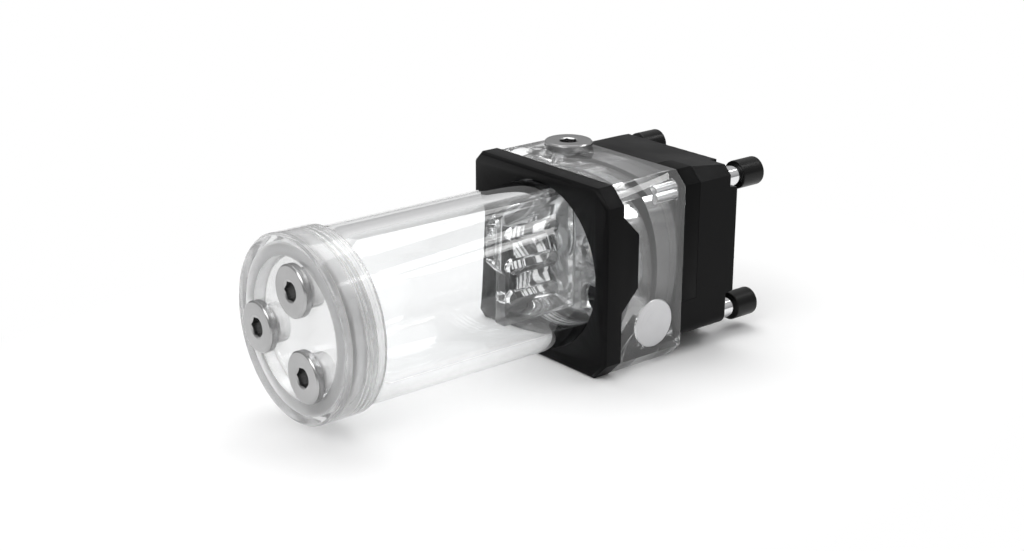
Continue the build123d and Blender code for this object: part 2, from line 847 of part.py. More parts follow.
# Port plug and its seal ring, drawn once with the thread pointing down
plug_groove = 2 * plug_seal_r + seal_clearance
with BuildPart() as port_plug:
    with BuildSketch(Plane.XY):
        Circle(plug_head_r)
    extrude(amount=plug_head_height)
    chamfer(edges().group_by(Axis.Z)[-1], length=plug_bevel)
    with BuildSketch(Plane.XY):
        Circle(plug_shank_r + plug_groove + seal_clearance)
        Circle(plug_shank_r, mode=Mode.SUBTRACT)
    extrude(amount=plug_groove, mode=Mode.SUBTRACT)
    with BuildSketch(Plane.XY):
        Circle(plug_shank_r)
    extrude(amount=-plug_shank)
    chamfer(edges().group_by(Axis.Z)[0], length=plug_tip)
    with BuildSketch(Plane.XY.offset(plug_head_height)):
        RegularPolygon(plug_hex / 2, 6, major_radius=False)
    extrude(amount=-plug_hex_depth, mode=Mode.SUBTRACT)
with BuildPart() as plug_seal:
    with BuildSketch(Plane.XZ):
        with Locations((plug_shank_r + plug_seal_r + seal_clearance, plug_seal_r)):
            Circle(plug_seal_r)
    revolve(axis=Axis.Z)

plug_frames = {}
for number, (port_y, port_z) in enumerate(cap_ports, start=1):
    port_origin = (frame_x + cap_front, port_y, axis_z + port_z)
    plug_frames[f"cap_plug_{number}"] = Plane(origin=port_origin, x_dir=(0, -1, 0), z_dir=(-1, 0, 0))
plug_frames["top_plug"] = Plane(origin=(frame_x + top_port_back, top_port_side, top_size), z_dir=(0, 0, 1))
for name, plug_frame in plug_frames.items():
    placed_plug = plug_frame.location * port_plug.part
    placed_plug.label = name
    export_step(placed_plug, f"parts/{name}.step")
    placed_seal = plug_frame.location * plug_seal.part
    placed_seal.label = f"{name}_seal"
    export_step(placed_seal, f"parts/{name}_seal.step")

# Thumb screw, grip and washer, drawn once on the tube axis
with BuildPart() as thumb_screw:
    with BuildSketch(station(top_back - stud_reach)):
        Circle(stud_r)
    extrude(amount=washer_back - top_back + stud_reach)
    chamfer(edges().group_by(Axis.X)[0], length=stud_tip)
    with BuildSketch(station(washer_back)):
        Circle(thumb_shaft_r)
    extrude(amount=grip_front - washer_back)
    with BuildSketch(station(grip_front)):
        Circle(thumb_core_r)
    extrude(amount=grip_length - grip_wall_end)
with BuildPart() as thumb_grip:
    with BuildSketch(station(grip_front)):
        Circle(grip_r)
    extrude(amount=grip_length)
    chamfer(edges().group_by(Axis.X)[-1], length=grip_bevel)
    chamfer(edges().group_by(Axis.X)[0], length=grip_front_bevel)
    with BuildSketch(station(grip_front)):
        Circle(thumb_core_r)
    extrude(amount=grip_length - grip_wall_end, mode=Mode.SUBTRACT)
with BuildPart() as thumb_washer:
    with BuildSketch(station(pad_back)):
        Circle(washer_r)
        Circle(stud_r + running_gap, mode=Mode.SUBTRACT)
    extrude(amount=washer_thickness)

for number, (screw_y, screw_z) in enumerate(screw_places, start=1):
    screw_move = Location((0, screw_y, screw_z))
    kinds = (("thumb_screw", thumb_screw), ("thumb_grip", thumb_grip), ("thumb_washer", thumb_washer))
    for kind, piece in kinds:
        placed = screw_move * piece.part
        placed.label = f"{kind}_{number}"
        export_step(placed, f"parts/{kind}_{number}.step")
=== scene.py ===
"""Visual model of a coolant pump reservoir: clear tube, threaded cap, black holder frame, clear pump top and pump."""
import logging
import math
from dataclasses import dataclass, field
from enum import Enum

import bmesh
import bpy
import numpy as np
from bpy.types import ID, Material, Node, NodeSocket, NodeTree, Object, ShaderNodeTree
from mathutils import Matrix


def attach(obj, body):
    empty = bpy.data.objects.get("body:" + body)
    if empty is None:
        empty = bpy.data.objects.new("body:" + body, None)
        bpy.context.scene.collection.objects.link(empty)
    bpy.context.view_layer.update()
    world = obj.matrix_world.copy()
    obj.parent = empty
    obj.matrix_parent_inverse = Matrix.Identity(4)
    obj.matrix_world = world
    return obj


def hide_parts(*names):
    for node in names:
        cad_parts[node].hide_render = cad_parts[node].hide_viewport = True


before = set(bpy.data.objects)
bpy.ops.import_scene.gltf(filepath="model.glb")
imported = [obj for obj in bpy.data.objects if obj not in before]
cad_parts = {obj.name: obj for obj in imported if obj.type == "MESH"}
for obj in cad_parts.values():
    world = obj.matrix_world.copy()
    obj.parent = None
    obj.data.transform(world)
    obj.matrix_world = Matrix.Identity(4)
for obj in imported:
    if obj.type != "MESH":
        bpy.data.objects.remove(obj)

LOG = logging.getLogger("reservoir")
MM = 0.001
AXIS_HEIGHT = 34.2
FRAME_FRONT = 11.65
SHARP_ANGLE = math.radians(32)
THREAD_COLUMNS = 224
THREAD_SLOPE = 2.6
THREAD_CREST = 0.15
SKIN_FROM = 0.975
SKIN_TO = 0.99
RUBBER = (
    (0.012, 0.012, 0.012),
    (0.02, 0.02, 0.021),
)
Colour = tuple[float, float, float]
Point = tuple[float, float, float]


class Axis(Enum):
    """The direction that a turned or brushed pattern is centred on."""

    X = 0
    Y = 1
    Z = 2


def place(back: float, side: float, up: float) -> np.ndarray:
    """Point in metres from millimetres behind the frame's front face, to the hidden side and above the tube axis.

    Args:
        back: distance behind the front face of the holder frame.
        side: distance to the hidden side.
        up: height above the tube axis.

    Returns:
        The point in the model's own frame.
    """
    return np.array([FRAME_FRONT + back, side, AXIS_HEIGHT + up]) * MM


def link(name: str, data: ID) -> Object:
    """Puts an object in the scene.

    Args:
        name: name of the object.
        data: its mesh, camera or lamp.

    Returns:
        The object.
    """
    made = bpy.data.objects.new(name, data)
    bpy.context.scene.collection.objects.link(made)
    return made


def grid_quads(rows: int, columns: int, wrap_rows: bool, wrap_columns: bool) -> np.ndarray:
    """Faces of a grid: each joins point (i, j) with (i, j+1), (i+1, j+1) and (i+1, j), counted round where it wraps.

    Args:
        rows: number of rows of points.
        columns: number of points in a row.
        wrap_rows: whether the last row meets the first.
        wrap_columns: whether the last column meets the first.

    Returns:
        Array of shape (faces, 4) of point numbers.
    """
    i, j = np.meshgrid(np.arange(rows - (not wrap_rows)), np.arange(columns - (not wrap_columns)), indexing="ij")
    i, j = i.ravel(), j.ravel()
    i2, j2 = (i + 1) % rows, (j + 1) % columns
    return np.stack([i * columns + j, i * columns + j2, i2 * columns + j2, i2 * columns + j], axis=1)


def surface(name: str, grid: np.ndarray, wrap_rows: bool = False, wrap_columns: bool = False) -> Object:
    """Object whose points are a grid of shape (rows, columns, 3).

    Args:
        name: name of the piece.
        grid: the surface's points, in metres.
        wrap_rows: whether the last row meets the first.
        wrap_columns: whether the last column meets the first.

    Returns:
        The linked object.
    """
    quads = grid_quads(*grid.shape[:2], wrap_rows, wrap_columns)
    mesh = bpy.data.meshes.new(name)
    mesh.vertices.add(grid.size // 3)
    mesh.vertices.foreach_set("co", grid.astype(np.float32).ravel())
    mesh.loops.add(quads.size)
    mesh.loops.foreach_set("vertex_index", quads.astype(np.int32).ravel())
    mesh.polygons.add(len(quads))
    mesh.polygons.foreach_set("loop_start", np.arange(0, quads.size, 4, dtype=np.int32))
    mesh.polygons.foreach_set("use_smooth", np.ones(len(quads), bool))
    mesh.update(calc_edges=True)
    mesh.validate()
    return link(name, mesh)


@dataclass
class Profile:
    """Outline of a turned piece: corners as (distance along the axis, radius), in millimetres."""

    corners: tuple[tuple[float, float], ...]
    closed: bool = False

    def rounded(self, radius: float, steps: int = 4) -> np.ndarray:
        """Outline with each corner replaced by a short curve.

        A corner P between unit directions u and v becomes the quadratic curve
        (1-t)^2 (P - d u) + 2 t (1-t) P + t^2 (P + d v), where d is the radius or 0.4 of the shorter side.

        Args:
            radius: how far from the corner the curve starts.
            steps: points on each curve.

        Returns:
            Array of shape (n, 2).
        """
        points = np.array(self.corners, float)
        before, after = np.roll(points, 1, axis=0), np.roll(points, -1, axis=0)
        into, out = points - before, after - points
        into_length = np.linalg.norm(into, axis=1, keepdims=True)
        out_length = np.linalg.norm(out, axis=1, keepdims=True)
        reach = np.minimum(radius, 0.4 * np.minimum(into_length, out_length))
        if not self.closed:
            reach[[0, -1]] = 0.0
        start, end = points - into / into_length * reach, points + out / out_length * reach
        t = np.linspace(0, 1, steps)[None, :, None]
        curve = (1 - t) ** 2 * start[:, None] + 2 * t * (1 - t) * points[:, None] + t**2 * end[:, None]
        path = curve.reshape(-1, 2)
        step = np.linalg.norm(np.diff(path, axis=0), axis=1)
        return path[np.concatenate([[True], step > 1e-6])]

    def refined(
        self, radius: float, coarse: float, zones: tuple[tuple[float, float, float], ...] = (), level: float = 0.9
    ) -> np.ndarray:
        """Rounded outline with points added so that no gap is longer than coarse, and finer in zones.

        Args:
            radius: corner rounding.
            coarse: longest gap outside the zones.
            zones: (from, to, gap) along the axis, where the outer side gets a gap of its own.
            level: share of the largest radius beyond which a point counts as the outer side.

        Returns:
            Array of shape (n, 2).
        """
        path = self.rounded(radius)
        if self.closed:
            path = np.vstack([path, path[:1]])
        length = np.concatenate([[0], np.cumsum(np.linalg.norm(np.diff(path, axis=0), axis=1))])
        knots = np.union1d(length, np.arange(0, length[-1], coarse))
        for low, high, gap in zones:
            fine = np.arange(0, length[-1], gap)
            along, out = np.interp(fine, length, path[:, 0]), np.interp(fine, length, path[:, 1])
            knots = np.union1d(knots, fine[(along > low) & (along < high) & (out > level * path[:, 1].max())])
        knots = knots[np.concatenate([[True], np.diff(knots) > 1e-5])]
        dense = np.stack([np.interp(knots, length, path[:, 0]), np.interp(knots, length, path[:, 1])], axis=1)
        return dense[:-1] if self.closed else dense


def thread_depth(
    along: np.ndarray, turn: np.ndarray, pitch: float, depth: float, low: float, high: float
) -> np.ndarray:
    """How far a right-hand thread cuts in: a triangle wave of (along / pitch - turn / 2 pi), flattened at crest and root.

    Args:
        along: distance along the axis, growing towards the thread's open end.
        turn: angle in radians.
        pitch: distance between ridges.
        depth: full depth of the cut.
        low: where the thread starts, along the axis.
        high: where it ends.

    Returns:
        Depth for each pair of inputs, fading to nothing over half a pitch at both ends.
    """
    phase = np.mod(along / pitch - turn / (2 * np.pi), 1.0)
    wave = np.clip(THREAD_SLOPE * np.abs(phase - 0.5) - THREAD_CREST, 0.0, 1.0)
    fade = np.clip((along - low) / (0.5 * pitch), 0, 1) * np.clip((high - along) / (0.5 * pitch), 0, 1)
    return depth * wave * fade


@dataclass
class Lathe:
    """Turns outlines round an axis: point = centre + along * axis + radius * (cos(turn) * u + sin(turn) * v)."""

    centre: np.ndarray
    axis: Axis = Axis.X
    sign: int = 1
    columns: int = 128

    def turns(self) -> np.ndarray:
        """Angles of the columns, in radians."""
        return np.arange(self.columns) * (2 * np.pi / self.columns)

    def piece(self, name: str, along: np.ndarray, radius: np.ndarray, closed: bool = False) -> Object:
        """Surface from distances along the axis and radii, in millimetres.

        Args:
            name: name of the piece.
            along: array of shape (rows,) or (rows, columns).
            radius: array of shape (rows,) or (rows, columns).
            closed: whether the last row meets the first; otherwise both ends lie on the axis.

        Returns:
            The object, welded, with sharp edges kept sharp.
        """
        turn = self.turns()[None, :]
        rows = len(along)
        along = np.broadcast_to(np.reshape(along, (rows, -1)), (rows, self.columns))
        radius = np.broadcast_to(np.reshape(radius, (rows, -1)), (rows, self.columns))
        axis = np.eye(3)[self.axis.value] * self.sign
        first = np.eye(3)[(self.axis.value + 1) % 3]
        second = np.cross(axis, first)
        round_part = np.cos(turn)[..., None] * first + np.sin(turn)[..., None] * second
        grid = self.centre + (along[..., None] * axis + radius[..., None] * round_part) * MM
        piece = surface(name, grid, wrap_rows=closed, wrap_columns=True)
        weld(piece)
        return piece


def weld(piece: Object) -> None:
    """Merges doubled points, turns faces outwards and marks the sharp edges.

    Args:
        piece: the piece to finish.
    """
    work = bmesh.new()
    work.from_mesh(piece.data)
    bmesh.ops.remove_doubles(work, verts=work.verts, dist=2e-7)
    bmesh.ops.recalc_face_normals(work, faces=work.faces)
    if work.calc_volume(signed=True) < 0:
        bmesh.ops.reverse_faces(work, faces=work.faces)
    work.to_mesh(piece.data)
    work.free()
    piece.data.polygons.foreach_set("use_smooth", np.ones(len(piece.data.polygons), bool))
    piece.data.set_sharp_from_angle(angle=SHARP_ANGLE)


def settle(piece: Object) -> None:
    """Turns a piece's modifiers into its mesh.

    Args:
        piece: the piece whose modifiers are applied.
    """
    bpy.context.view_layer.update()
    evaluated = piece.evaluated_get(bpy.context.evaluated_depsgraph_get())
    mesh = bpy.data.meshes.new_from_object(evaluated)
    piece.modifiers.clear()
    piece.data = mesh


def carve(piece: Object, cutters: list[Object], operation: str = "DIFFERENCE") -> None:
    """Cuts closed pieces out of another, or joins them to it, and removes them.

    Args:
        piece: the piece that is changed.
        cutters: the pieces that are taken out of it or joined to it.
        operation: name of the Boolean operation.
    """
    for cutter in cutters:
        step = piece.modifiers.new("cut", "BOOLEAN")
        step.operation = operation
        step.solver = "EXACT"
        step.object = cutter
    settle(piece)
    for cutter in cutters:
        bpy.data.objects.remove(cutter)
    weld(piece)


def softened(node: str, label: str, width: float) -> Object:
    """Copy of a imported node, with doubled points merged, flat faces joined and sharp edges rounded off.

    Args:
        node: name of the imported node.
        label: name of the copy.
        width: width of the rounded edge, in millimetres; it gives way where faces are narrow.

    Returns:
        The copy, which stands in for the node.
    """
    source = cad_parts[node]
    piece = link(label, source.data.copy())
    piece.matrix_world = source.matrix_world
    work = bmesh.new()
    work.from_mesh(piece.data)
    bmesh.ops.remove_doubles(work, verts=work.verts, dist=2e-6)
    bmesh.ops.dissolve_limit(work, angle_limit=math.radians(0.6), verts=work.verts, edges=work.edges)
    work.to_mesh(piece.data)
    work.free()
    edge = piece.modifiers.new("edge", "BEVEL")
    edge.width = width * MM
    edge.segments = 2
    edge.limit_method = "ANGLE"
    edge.angle_limit = SHARP_ANGLE
    edge.use_clamp_overlap = True
    edge.harden_normals = True
    piece.data.polygons.foreach_set("use_smooth", np.ones(len(piece.data.polygons), bool))
    settle(piece)
    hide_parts(node)
    return piece


def finish_piece(piece: Object, material: Material, body: str) -> None:
    """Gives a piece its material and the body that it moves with.

    Args:
        piece: the piece.
        material: its material.
        body: name of the body.
    """
    piece.data.materials.clear()
    piece.data.materials.append(material)
    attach(piece, body)
    LOG.info("finished %s on %s", piece.name, body)


# Shader node groups shared by the finishes


def new_group(name: str, inputs: dict[str, float], outputs: tuple[str, ...]) -> ShaderNodeTree:
    """Empty shader node group with a vector input and named values.

    Args:
        name: name of the group.
        inputs: default of each float input.
        outputs: names of the float outputs.

    Returns:
        The group, with its input and output nodes placed.
    """
    group = bpy.data.node_groups.new(name, "ShaderNodeTree")
    group.interface.new_socket(name="Vector", in_out="INPUT", socket_type="NodeSocketVector")
    for label, value in inputs.items():
        socket = group.interface.new_socket(name=label, in_out="INPUT", socket_type="NodeSocketFloat")
        socket.default_value = value
    for label in outputs:
        group.interface.new_socket(name=label, in_out="OUTPUT", socket_type="NodeSocketFloat")
    group.nodes.new("NodeGroupInput").name = "In"
    group.nodes.new("NodeGroupOutput").name = "Out"
    return group


def add_node(tree: NodeTree, kind: str, inputs: dict[str | int, object], **settings: object) -> Node:
    """Shader node whose inputs are linked to sockets or set to plain values.

    Args:
        tree: the node tree.
        kind: the node's type, without the prefix that all shader nodes share.
        inputs: socket or value of each input, by its name or number.
        settings: the node's own settings.

    Returns:
        The node.
    """
    node = tree.nodes.new(f"ShaderNode{kind}")
    for name, value in settings.items():
        setattr(node, name, value)
    for key, value in inputs.items():
        if isinstance(value, NodeSocket):
            tree.links.new(value, node.inputs[key])
        else:
            node.inputs[key].default_value = value
    return node


def math_node(
    tree: NodeTree, operation: str, first: object, second: object = 0.0, third: object = 0.0
) -> NodeSocket:
    """Math node whose inputs are sockets or plain numbers.

    Args:
        tree: the node tree.
        operation: name of the operation.
        first: first input.
        second: second input.
        third: third input.

    Returns:
        The node's output.
    """
    return add_node(tree, "Math", {0: first, 1: second, 2: third}, operation=operation).outputs[0]


def noise_node(tree: NodeTree, vector: NodeSocket, scale: object, detail: float, rough: float = 0.5) -> NodeSocket:
    """Noise texture read at a vector.

    Args:
        tree: the node tree.
        vector: where the noise is read.
        scale: its scale, a number or a socket.
        detail: its octaves.
        rough: how strong the fine octaves are.

    Returns:
        The noise value, from 0 to 1.
    """
    inputs = {"Vector": vector, "Scale": scale, "Detail": detail, "Roughness": rough}
    return add_node(tree, "TexNoise", inputs).outputs["Fac"]


def handling_group() -> ShaderNodeTree:
    """Handling marks: broad soft patches plus short fine hairlines; both are noise, the hairlines stretched one way.

    Returns:
        Group with a Patch output and a Hairline output, both from 0 to 1.
    """
    group = new_group("handling_marks", {"Patch Scale": 60.0, "Hair Scale": 900.0}, ("Patch", "Hairline"))
    vector = group.nodes["In"].outputs["Vector"]
    patch = noise_node(group, vector, group.nodes["In"].outputs["Patch Scale"], 3.0)
    patch = math_node(group, "SMOOTH_MIN", math_node(group, "MULTIPLY_ADD", patch, 2.6, -0.8), 1.0, 0.2)
    inputs = {"Vector": vector, "Rotation": (0.3, 0.5, 0.9), "Scale": (1.0, 0.04, 0.3)}
    stretch = add_node(group, "Mapping", inputs)
    hair = noise_node(group, stretch.outputs["Vector"], group.nodes["In"].outputs["Hair Scale"], 1.0)
    hair = math_node(group, "MAXIMUM", math_node(group, "MULTIPLY_ADD", hair, 6.0, -3.9), 0.0)
    group.links.new(math_node(group, "MAXIMUM", patch, 0.0), group.nodes["Out"].inputs["Patch"])
    group.links.new(math_node(group, "MINIMUM", hair, 1.0), group.nodes["Out"].inputs["Hairline"])
    return group


def turned_group() -> ShaderNodeTree:
    """Lathe marks round the local Z axis: a sine of the distance from the axis, broken up by noise.

    Returns:
        Group with a Rings output from 0 to 1.
    """
    group = new_group("turned_marks", {"Pitch": 0.00025, "Break": 0.35}, ("Rings",))
    split = add_node(group, "SeparateXYZ", {0: group.nodes["In"].outputs["Vector"]})
    square = math_node(group, "MULTIPLY", split.outputs[0], split.outputs[0])
    radius = math_node(group, "SQRT", math_node(group, "MULTIPLY_ADD", split.outputs[1], split.outputs[1], square))
    turns = math_node(group, "DIVIDE", radius, group.nodes["In"].outputs["Pitch"])
    ring_place = add_node(group, "CombineXYZ", {0: turns})
    wander = noise_node(group, ring_place.outputs[0], 0.7, 2.0)
    wave = math_node(group, "SINE", math_node(group, "MULTIPLY", turns, 2 * math.pi))
    even = math_node(group, "MULTIPLY_ADD", wave, 0.5, 0.5)
    mix = math_node(group, "SUBTRACT", 1.0, group.nodes["In"].outputs["Break"])
    rings = math_node(group, "MULTIPLY", even, mix)
    rings = math_node(group, "MULTIPLY_ADD", wander, group.nodes["In"].outputs["Break"], rings)
    group.links.new(rings, group.nodes["Out"].inputs["Rings"])
    return group


def grain_group() -> ShaderNodeTree:
    """Blasted or moulded grain: fine noise of two sizes added together.

    Returns:
        Group with a Grain output from 0 to 1.
    """
    group = new_group("fine_grain", {"Scale": 3500.0, "Coarse": 0.3}, ("Grain",))
    vector = group.nodes["In"].outputs["Vector"]
    fine = noise_node(group, vector, group.nodes["In"].outputs["Scale"], 2.0, 0.6)
    coarse_scale = math_node(group, "MULTIPLY", group.nodes["In"].outputs["Scale"], 0.16)
    coarse = noise_node(group, vector, coarse_scale, 2.0)
    keep = math_node(group, "SUBTRACT", 1.0, group.nodes["In"].outputs["Coarse"])
    fine_part = math_node(group, "MULTIPLY", fine, keep)
    total = math_node(group, "MULTIPLY_ADD", coarse, group.nodes["In"].outputs["Coarse"], fine_part)
    group.links.new(total, group.nodes["Out"].inputs["Grain"])
    return group


def skin_group() -> ShaderNodeTree:
    """Outer skin of a block or disc: the largest of |x|/L, |y|/W, |z|/W, (|y|+|z|)/S and r/R, smoothed from 0.975 to 0.99.

    Returns:
        Group with a Skin output, 1 on the outer faces and 0 on the faces inside.
    """
    group = new_group("outer_skin", {"Length": 1.0, "Width": 1.0, "Corner": 1.0, "Radius": 1.0}, ("Skin",))
    source = group.nodes["In"].outputs
    split = add_node(group, "SeparateXYZ", {0: source["Vector"]})
    x, y, z = (math_node(group, "ABSOLUTE", split.outputs[index]) for index in range(3))
    square = math_node(group, "MULTIPLY_ADD", z, z, math_node(group, "MULTIPLY", y, y))
    largest = math_node(group, "DIVIDE", x, source["Length"])
    for value, size in (
        (y, "Width"),
        (z, "Width"),
        (math_node(group, "ADD", y, z), "Corner"),
        (math_node(group, "SQRT", square), "Radius"),
    ):
        largest = math_node(group, "MAXIMUM", largest, math_node(group, "DIVIDE", value, source[size]))
    inputs = {"Value": largest, "From Min": SKIN_FROM, "From Max": SKIN_TO}
    smooth = add_node(group, "MapRange", inputs, interpolation_type="SMOOTHSTEP")
    group.links.new(smooth.outputs["Result"], group.nodes["Out"].inputs["Skin"])
    return group


def zone_group() -> ShaderNodeTree:
    """Band along the X axis: 1 between two stations, 0 outside, with a soft step at each.

    Returns:
        Group with a Zone output.
    """
    group = new_group("band_along_axis", {"From": 0.0, "To": 1.0, "Soft": 0.0002}, ("Zone",))
    source = group.nodes["In"].outputs
    split = add_node(group, "SeparateXYZ", {0: source["Vector"]})
    rise = math_node(group, "DIVIDE", math_node(group, "SUBTRACT", split.outputs[0], source["From"]), source["Soft"])
    fall = math_node(group, "DIVIDE", math_node(group, "SUBTRACT", source["To"], split.outputs[0]), source["Soft"])
    low = math_node(group, "MINIMUM", math_node(group, "MINIMUM", rise, fall), 1.0)
    group.links.new(math_node(group, "MAXIMUM", low, 0.0), group.nodes["Out"].inputs["Zone"])
    return group


@dataclass
class Effects:
    """The shared node groups."""

    handling: ShaderNodeTree = field(default_factory=handling_group)
    turned: ShaderNodeTree = field(default_factory=turned_group)
    grain: ShaderNodeTree = field(default_factory=grain_group)
    skin: ShaderNodeTree = field(default_factory=skin_group)
    zone: ShaderNodeTree = field(default_factory=zone_group)


class Coat:
    """A material under construction: a Principled shader on object coordinates."""

    def __init__(self, name: str, colour: Colour, metallic: float = 0.0, roughness: float = 0.4) -> None:
        """Makes the material.

        Args:
            name: name of the material.
            colour: base colour.
            metallic: metallic value.
            roughness: roughness where nothing varies it.
        """
        self.material = bpy.data.materials.new(name)
        self.material.use_nodes = True
        self.tree = self.material.node_tree
        self.shader = self.tree.nodes["Principled BSDF"]
        self.shader.inputs["Base Color"].default_value = (*colour, 1.0)
        self.shader.inputs["Metallic"].default_value = metallic
        self.shader.inputs["Roughness"].default_value = roughness
        self.coordinates = self.tree.nodes.new("ShaderNodeTexCoord").outputs["Object"]

    def moved(self, centre: Point) -> NodeSocket:
        """Object coordinates moved so that centre is the origin.

        Args:
            centre: the new origin, in metres.

        Returns:
            The moved coordinates.
        """
        return add_node(self.tree, "VectorMath", {0: self.coordinates, 1: centre}, operation="SUBTRACT").outputs[0]

    def around(self, centre: Point, axis: Axis) -> NodeSocket:
        """Object coordinates moved so that centre is the origin and turned so that axis is local Z.

        Args:
            centre: centre of the pattern, in metres.
            axis: the pattern's axis.

        Returns:
            The moved coordinates.
        """
        turns = {Axis.X: (0, -math.pi / 2, 0), Axis.Y: (math.pi / 2, 0, 0), Axis.Z: (0, 0, 0)}
        inputs = {"Vector": self.moved(centre), "Rotation": turns[axis]}
        return add_node(self.tree, "Mapping", inputs).outputs["Vector"]

    def group(self, tree: ShaderNodeTree, vector: NodeSocket | None = None, **values: float) -> Node:
        """Places a shared group.

        Args:
            tree: the group.
            vector: coordinates it reads; plain object coordinates if left out.
            values: values of its inputs, with underscores for spaces.

        Returns:
            The group node.
        """
        node = self.tree.nodes.new("ShaderNodeGroup")
        node.node_tree = tree
        self.tree.links.new(vector or self.coordinates, node.inputs["Vector"])
        for label, value in values.items():
            node.inputs[label.replace("_", " ")].default_value = value
        return node

    def vary(self, socket: str, mask: NodeSocket, low: float, high: float) -> None:
        """Lets a mask from 0 to 1 move a shader input from low to high.

        Args:
            socket: name of the shader input.
            mask: the mask.
            low: value at 0.
            high: value at 1.
        """
        inputs = {"Value": mask, "To Min": low, "To Max": high}
        node = add_node(self.tree, "MapRange", inputs)
        self.tree.links.new(node.outputs["Result"], self.shader.inputs[socket])

    def tint(self, mask: NodeSocket, low: Colour | None, high: Colour) -> None:
        """Lets a mask from 0 to 1 move the base colour from low to high.

        Args:
            mask: the mask.
            low: colour at 0, or None for whatever is there.
            high: colour at 1.
        """
        base = self.shader.inputs["Base Color"]
        start = (*low, 1.0) if low else base.links[0].from_socket
        node = add_node(self.tree, "Mix", {0: mask, 6: start, 7: (*high, 1.0)}, data_type="RGBA")
        self.tree.links.new(node.outputs[2], base)

    def pass_light(self, share: float) -> None:
        """Lets lamps shine through: for shadow rays the shader gives way to a transparent one.

        Args:
            share: share of the light that each surface lets through.
        """
        clear = add_node(self.tree, "BsdfTransparent", {"Color": (share, share, share, 1.0)})
        shadow = self.tree.nodes.new("ShaderNodeLightPath").outputs["Is Shadow Ray"]
        mix = add_node(self.tree, "MixShader", {0: shadow, 1: self.shader.outputs[0], 2: clear.outputs[0]})
        self.tree.links.new(mix.outputs[0], self.tree.nodes["Material Output"].inputs["Surface"])

    def bump(self, height: NodeSocket, strength: float, distance: float) -> None:
        """Adds a bump under the shader's normal.

        Args:
            height: the height mask.
            strength: strength of the bump.
            distance: depth in metres.
        """
        node = add_node(self.tree, "Bump", {"Height": height, "Strength": strength, "Distance": distance})
        self.tree.links.new(node.outputs["Normal"], self.shader.inputs["Normal"])


@dataclass(frozen=True)
class AcrylicFinish:
    """Clear cast acrylic: polished outside, finely milled inside where a skin is given."""

    name: str
    colour: Colour = (0.985, 0.99, 0.992)
    smooth: float = 0.0
    hazy: float = 0.03
    milled: float = 0.0
    centre: Point = (0.0, 0.0, 0.0)
    skin: tuple[float, float, float, float] | None = None
    clear: float = 1.0
    share: float = 0.9

    def build(self, effects: Effects) -> Material:
        """Builds the material: handling marks in the polish, and mill marks where the skin mask is 0.

        Args:
            effects: the shared node groups.

        Returns:
            The material.
        """
        coat = Coat(self.name, self.colour, roughness=self.smooth)
        coat.shader.inputs["Transmission Weight"].default_value = self.clear
        coat.shader.inputs["IOR"].default_value = 1.49
        marks = coat.group(effects.handling, Patch_Scale=45.0)
        coat.vary("Roughness", marks.outputs["Patch"], self.smooth, self.hazy)
        if self.skin:
            polished = coat.shader.inputs["Roughness"].links[0].from_socket
            sizes = dict(zip(("Length", "Width", "Corner", "Radius"), (value * MM for value in self.skin)))
            skin = coat.group(effects.skin, coat.moved(self.centre), **sizes).outputs["Skin"]
            inner = math_node(coat.tree, "SUBTRACT", 1.0, skin)
            outer_part = math_node(coat.tree, "MULTIPLY", polished, skin)
            total = math_node(coat.tree, "MULTIPLY_ADD", inner, self.milled, outer_part)
            coat.tree.links.new(total, coat.shader.inputs["Roughness"])
            milling = coat.group(effects.grain, Scale=2400.0, Coarse=0.6)
            height = math_node(coat.tree, "MULTIPLY", milling.outputs["Grain"], inner)
            coat.bump(height, 0.3, 0.00005)
        coat.pass_light(self.share)
        return coat.material


@dataclass(frozen=True)
class AnodisedFinish:
    """Black anodised aluminium with a blasted grain."""

    name: str
    colour: Colour = (0.0022, 0.0022, 0.0024)
    worn: Colour = (0.0045, 0.0045, 0.0048)
    roughness: float = 0.36
    shine: float = 0.075
    grain_scale: float = 5200.0

    def build(self, effects: Effects) -> Material:
        """Builds the material: near black, with grain in its bump and handling marks in its sheen."""
        coat = Coat(self.name, self.colour, roughness=self.roughness)
        coat.shader.inputs["Specular IOR Level"].default_value = self.shine
        grain = coat.group(effects.grain, Scale=self.grain_scale)
        marks = coat.group(effects.handling, Patch_Scale=38.0)
        coat.tint(grain.outputs["Grain"], self.colour, self.worn)
        coat.vary("Roughness", marks.outputs["Patch"], self.roughness - 0.05, self.roughness + 0.08)
        coat.bump(grain.outputs["Grain"], 0.35, 0.00004)
        return coat.material


@dataclass(frozen=True)
class MouldedFinish:
    """Moulded plastic or rubber; where a band is given, a lighter grey is painted along it as a sheen standing in for
    reflected light.
    """

    name: str
    colour: Colour
    light: Colour
    roughness: float = 0.45
    grain_scale: float = 2600.0
    depth: float = 0.00003
    shine: float = 0.5
    band: tuple[float, float] | None = None
    painted_sheen_colour: Colour = (0.0, 0.0, 0.0)

    def build(self, effects: Effects) -> Material:
        """Builds the material: two close colours mixed by the grain, which also makes the bump, plus the painted sheen
        of the band where one is given.
        """
        coat = Coat(self.name, self.colour, roughness=self.roughness)
        coat.shader.inputs["Specular IOR Level"].default_value = self.shine
        grain = coat.group(effects.grain, Scale=self.grain_scale, Coarse=0.5)
        marks = coat.group(effects.handling)
        coat.tint(grain.outputs["Grain"], self.colour, self.light)
        if self.band:
            # Painted sheen: a lighter grey along the band stands in for light reflected on the part; it is not the
            # plastic's own colour.
            zone = coat.group(effects.zone, From=self.band[0], To=self.band[1])
            coat.tint(zone.outputs["Zone"], None, self.painted_sheen_colour)
        coat.vary("Roughness", marks.outputs["Patch"], self.roughness - 0.06, self.roughness + 0.06)
        coat.bump(grain.outputs["Grain"], 0.3, self.depth)
        return coat.material


